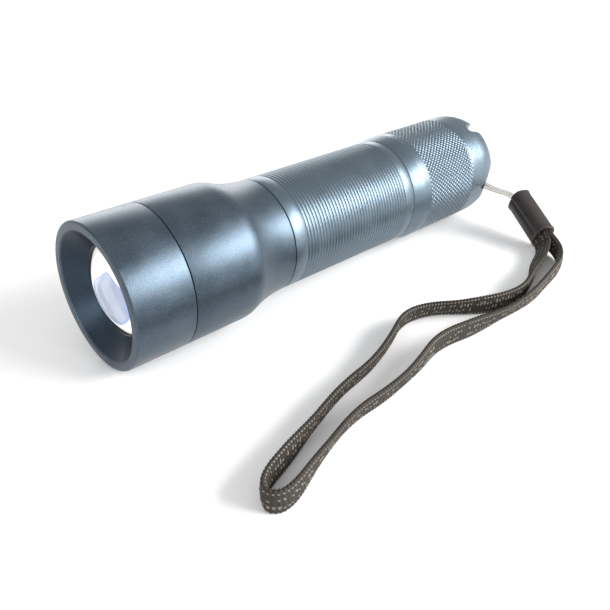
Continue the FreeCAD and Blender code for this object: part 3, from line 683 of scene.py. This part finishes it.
# ---------------------------------------------------------------- button
def boot_outline():
    flange = WALL_OUT - WALL_T - BOOT_FLANGE_T
    back = WALL_OUT - WALL_T
    rise = BUTTON_TOP - WALL_OUT - 0.8
    big = (BUTTON_R ** 2 + rise ** 2) / (2 * rise)
    points = [(flange, PLUNGER_R + 0.3), (flange, BOOT_FLANGE_R), (back, BOOT_FLANGE_R), (back, BUTTON_R),
              (WALL_OUT + 0.5, BUTTON_R), (WALL_OUT + 0.85, BUTTON_R - 0.12)]
    for k in range(1, 25):
        r = (BUTTON_R - 0.35) * (1 - k / 24)
        s = BUTTON_TOP - big + math.sqrt(big ** 2 - r ** 2)
        ringed = 0.10 * (0.5 + 0.5 * math.cos(2 * math.pi * r / 1.15)) if 0.8 < r < 5.6 else 0.0
        points.append((s - 0.10 + ringed, max(r, 0.0)))
    hollow = BUTTON_TOP - 1.6
    return points + [(hollow, 0.0), (hollow, PLUNGER_R + 0.3)]


stand_for(lathe("button_boot", boot_outline(), 96, 35.0), "switch_boot",
          "button", "black_rubber", black_rubber)


# ---------------------------------------------------------------- lanyard
nylon = Shader("clear_nylon")
nylon.set(Base_Color=(0.50, 0.48, 0.46, 1.0), Roughness=0.12, IOR=1.53, Transmission_Weight=0.85)
nylon.bump(nylon.noise(2500.0, 2.0), 0.1, 0.00002)
nylon_rough = nylon.noise(900.0, 2.0)
nylon.rough(nylon.span(nylon_rough, 0.12, 0.24, 0.3, 0.7))
string = spline_curve("string", string_points(), STRING_R * MM)
string.data.use_fill_caps = True
string.data.materials.append(nylon.material)
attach(string, "cap")
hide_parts("lanyard_string")
string_line = spline_line(string_points())

# Ferrule: a folded tube with lips at both ends and a crease along its front.
ferrule_material = plain("ferrule_plastic", (0.014, 0.010, 0.009), (0.030, 0.023, 0.021),
                         0.46, 0.0, 1400.0, 0.2)


def ferrule_mesh():
    mouth, rear, along, side, up = ferrule_axes()
    length = (rear - mouth).length
    around = 96
    power = 2.9      # how boxy the section is: 2 is an ellipse
    rows = [(0.0, 0.10), (0.12, 0.18), (0.40, 0.20), (0.70, 0.10), (1.0, 0.02), (1.6, 0.0)]
    rows += [(1.6 + (length - 3.2) * k / 10, 0.0) for k in range(1, 10)]
    rows += [(length - r[0], r[1]) for r in reversed(rows[:6])]
    verts, faces = [], []
    for surface in (0, 1):
        order = rows if surface == 0 else list(reversed(rows))
        for at, flare in order:
            inset = -FERRULE_WALL if surface else 0.0
            grow = flare if surface == 0 else flare * 0.9
            w = FERRULE_W / 2 + grow * 0.6 + inset
            h = FERRULE_H / 2 + grow * 0.6 + inset
            for j in range(around):
                a = 2 * math.pi * j / around
                c, d = math.cos(a), math.sin(a)
                x = w * math.copysign(abs(c) ** (2 / power), c)
                y = h * math.copysign(abs(d) ** (2 / power), d)
                if c > 0:
                    x -= 0.32 * math.exp(-((y - 0.6) / 0.35) ** 2) * (1.0 - min(1.0, flare / 0.2))
                verts.append((mouth + along * at + side * x + up * y) * MM)
    n = len(rows) * 2
    for i in range(n):
        m = (i + 1) % n
        for j in range(around):
            k = (j + 1) % around
            faces.append((i * around + j, i * around + k, m * around + k, m * around + j))
    return link_mesh("ferrule", verts, faces, 40.0)


ferrule = stand_for(ferrule_mesh(), "lanyard_ferrule", "cap", "dark_plastic", ferrule_material)

# Strap: flat tubular webbing on edge, woven from dark yarns with some light ones.
dark_yarn = plain("webbing_dark", (0.010, 0.008, 0.006), (0.042, 0.035, 0.028), 0.85, 0.0, 3500.0, 0.5)
light_yarn = plain("webbing_light", (0.110, 0.096, 0.076), (0.260, 0.236, 0.200), 0.8, 0.0, 3500.0, 0.5)
YARN_ALONG, YARN_ACROSS = 0.80, 0.56
# How far the strap's upper edge leans towards the front, in degrees, by the distance along it in mm.
LEAN = ((0, 0), (12, 0), (34, 10), (50, 24), (62, 6), (74, 4), (88, 16), (108, 18),
        (124, 0), (138, -4), (150, 12),
        (166, 17), (184, 12), (200, 24), (212, 8), (228, 6), (240, 38), (250, 30), (256, 0), (260, 0))


def lean_at(distance):
    for (a, la), (b, lb) in zip(LEAN, LEAN[1:]):
        if distance <= b:
            t = (distance - a) / (b - a)
            t = t * t * (3 - 2 * t)
            return math.radians(la + (lb - la) * t)
    return 0.0


def chance(i, k):
    # A repeatable number from 0 to 1 for each yarn crossing.
    v = math.sin(i * 12.9898 + k * 78.233 + 4.7) * 43758.5453
    return v - math.floor(v)


def strap_mesh():
    line = even_line(spline_line(strap_points()), 0.00016)
    step = (arc_lengths(line)[-1] / MM) / (len(line) - 1)
    count = len(line)
    across = 34
    half_t, half_w = STRAP_T / 2 - 0.10, STRAP_W / 2 - 0.08
    ring = []
    for k in range(across):
        # Even steps round a slim rounded band: two long faces and two tight edges.
        a = 2 * math.pi * (k + 0.5) / across
        c, d = math.cos(a), math.sin(a)
        ring.append((math.copysign(abs(c) ** 0.45, c), math.copysign(abs(d) ** 1.15, d)))
    verts, faces, light = [], [], []
    for i, p in enumerate(line):
        ahead = line[min(i + 1, count - 1)]
        back = line[max(i - 1, 0)]
        along = (ahead - back).normalized()
        side = along.cross(Vector((0, 0, 1))).normalized()
        up = side.cross(along).normalized()
        lean = lean_at(i * step)
        front = 1.0 if side.y < 0 else -1.0
        tilt_up = up * math.cos(lean) + side * (front * math.sin(lean))
        tilt_side = side * math.cos(lean) - up * (front * math.sin(lean))
        for k, (x, y) in enumerate(ring):
            s = i * step / YARN_ALONG
            w = y * half_w / YARN_ACROSS
            # Plain weave set on the bias: crests shift by half a crossing from row to row.
            lift = math.sin(math.pi * (s + w)) * math.sin(math.pi * (s - w))
            face = abs(x)
            edge = 1.0 - face
            grow = 0.15 * (0.5 + lift) * face
            bulge = 0.20 * math.sin(2 * math.pi * s) * edge
            verts.append(p + (tilt_side * (x * (half_t + grow)) + tilt_up * (y * (half_w + bulge))) * MM)
    n = len(ring)
    for i in range(count - 1):
        for k in range(n):
            m = (k + 1) % n
            faces.append((i * n + k, i * n + m, (i + 1) * n + m, (i + 1) * n + k))
            s = i * step / YARN_ALONG
            w = ring[k][1] * half_w / YARN_ACROSS
            u, v = s + w, s - w
            lift = math.sin(math.pi * u) * math.sin(math.pi * v)
            cell = chance(math.floor(u), math.floor(v) + (31 if ring[k][0] > 0 else 0))
            rim = 0.95 if abs(ring[k][1]) > 0.78 else 0.42
            light.append(lift > 0.36 and cell < rim)
    faces.append(tuple(range(n)))
    faces.append(tuple(reversed(range((count - 1) * n, count * n))))
    light += [False, False]
    obj = link_mesh("strap", verts, faces, 60.0)
    return obj, line, light


strap, strap_line, strap_light = strap_mesh()
stand_for(strap, "wrist_strap", "cap", "grey_webbing", dark_yarn, light_yarn)
for face, is_light in zip(strap.data.polygons, strap_light):
    face.material_index = 1 if is_light else 0


# ---------------------------------------------------------------- floor and light
def floor():
    size = 1.5
    mesh = bpy.data.meshes.new("floor")
    mesh.from_pydata([(-size, -size, 0), (size, -size, 0), (size, size, 0), (-size, size, 0)],
                     [], [(0, 1, 2, 3)])
    obj = bpy.data.objects.new("floor", mesh)
    bpy.context.scene.collection.objects.link(obj)
    s = Shader("floor")
    s.set(Base_Color=(0.93, 0.93, 0.93, 1.0), Roughness=0.7)
    s.bsdf.inputs["Specular IOR Level"].default_value = 0.1
    obj.data.materials.append(s.material)


floor()


def soft_light(name, direction, distance, size, power):
    data = bpy.data.lights.new(name, "AREA")
    data.shape = "RECTANGLE"
    data.size, data.size_y = size
    data.energy = power
    obj = bpy.data.objects.new(name, data)
    d = Vector(direction).normalized()
    obj.location = d * distance
    obj.rotation_euler = (-d).to_track_quat("-Z", "Y").to_euler()
    bpy.context.scene.collection.objects.link(obj)


soft_light("key", (0.55, -0.72, 0.44), 0.8, (0.58, 0.34), 12.5)
soft_light("back", (0.45, 0.85, 0.22), 1.1, (1.0, 0.40), 5.0)
soft_light("front", (-0.9, -0.2, 0.45), 0.8, (0.4, 0.4), 1.5)

world = bpy.data.worlds.new("studio")
world.use_nodes = True
bpy.context.scene.world = world
background = world.node_tree.nodes["Background"]
background.inputs["Color"].default_value = (1.0, 1.0, 1.0, 1.0)
background.inputs["Strength"].default_value = 0.72

bpy.context.scene.view_settings.view_transform = "Standard"
bpy.context.view_layer.update()
